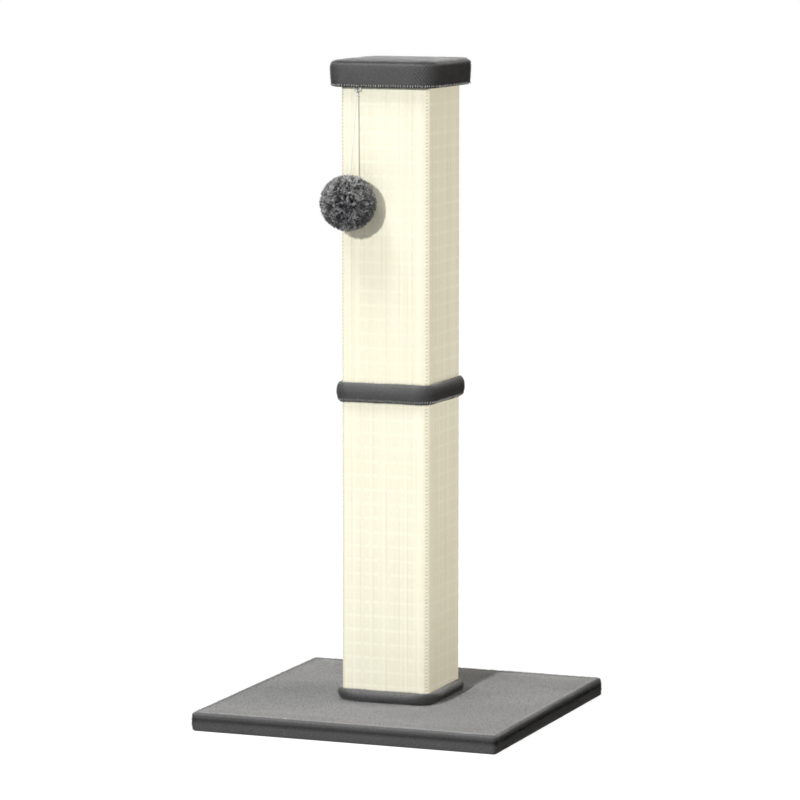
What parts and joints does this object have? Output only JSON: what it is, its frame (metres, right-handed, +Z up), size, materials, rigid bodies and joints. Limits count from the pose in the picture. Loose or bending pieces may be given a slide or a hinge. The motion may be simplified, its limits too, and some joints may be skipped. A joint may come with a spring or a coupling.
{
  "type": "cat scratching post",
  "caption": "Square free-standing cat scratching post wrapped in woven sisal mat, with a plush base, collars and padded cap, and a curly pile ball swinging on a cord.",
  "frame": {"origin": "centre of the base's underside, on the floor", "axes": "+Z up along the post, -Y out of the front face, where the ball hangs, and +X to the right as seen from the front"},
  "size_m": [0.4, 0.4, 0.8205],
  "materials": {
    "base_plush": "short grey plush pile",
    "collar_plush": "short grey plush pile",
    "cap_plush": "short grey plush pile, padded",
    "sisal_mat": "woven pale sisal yarn, matt and ribbed",
    "fibreboard": "raw fibreboard",
    "nonwoven": "thin black non-woven cloth",
    "foam": "soft foam pad",
    "zinc_steel": "zinc-plated steel",
    "white_cord": "thin braided white cord",
    "curly_pile": "curly dark grey pile with lighter tips",
    "wadding": "loose polyester filling"
  },
  "bodies": {
    "post": {"base_board": "fibreboard", "base_cover": "base_plush", "base_lining": "nonwoven", "base_bolt": "zinc_steel", "base_washer": "zinc_steel", "foot_collar": "collar_plush", "lower_front_panel": "fibreboard", "lower_back_panel": "fibreboard", "lower_left_panel": "fibreboard", "lower_right_panel": "fibreboard", "lower_bottom_plug": "fibreboard", "lower_top_plug": "fibreboard", "lower_bottom_nut": "zinc_steel", "lower_top_nut": "zinc_steel", "lower_sisal": "sisal_mat", "joining_stud": "zinc_steel", "middle_collar": "collar_plush", "upper_front_panel": "fibreboard", "upper_back_panel": "fibreboard", "upper_left_panel": "fibreboard", "upper_right_panel": "fibreboard", "upper_bottom_plug": "fibreboard", "upper_top_plug": "fibreboard", "upper_bottom_nut": "zinc_steel", "upper_top_nut": "zinc_steel", "upper_sisal": "sisal_mat", "cap_board": "fibreboard", "cap_foam": "foam", "cap_cover": "cap_plush", "cap_bolt": "zinc_steel", "cord_staple": "zinc_steel"},
    "loop": {"cord_loop": "white_cord"},
    "cord": {"cord_knot": "white_cord", "toy_cord": "white_cord"},
    "ball": {"ball_stuffing": "wadding", "ball_cover": "curly_pile", "ball_tie": "white_cord"}
  },
  "joints": [
    {"name": "swing_out", "type": "hinge", "parent": "post", "child": "loop", "pos_m": [-0.033, -0.06275, 0.7826], "axis": [-1, 0, 0], "range_deg": [0, 70]},
    {"name": "swing_sideways", "type": "hinge", "parent": "loop", "child": "cord", "pos_m": [-0.033, -0.06343, 0.77958], "axis": [0, 1, 0], "range_deg": [-70, 70]},
    {"name": "ball_spin", "type": "hinge", "parent": "cord", "child": "ball", "pos_m": [-0.033, -0.0934, 0.64702], "axis": [0, 0.2205, 0.9754], "continuous": true}
  ]
}
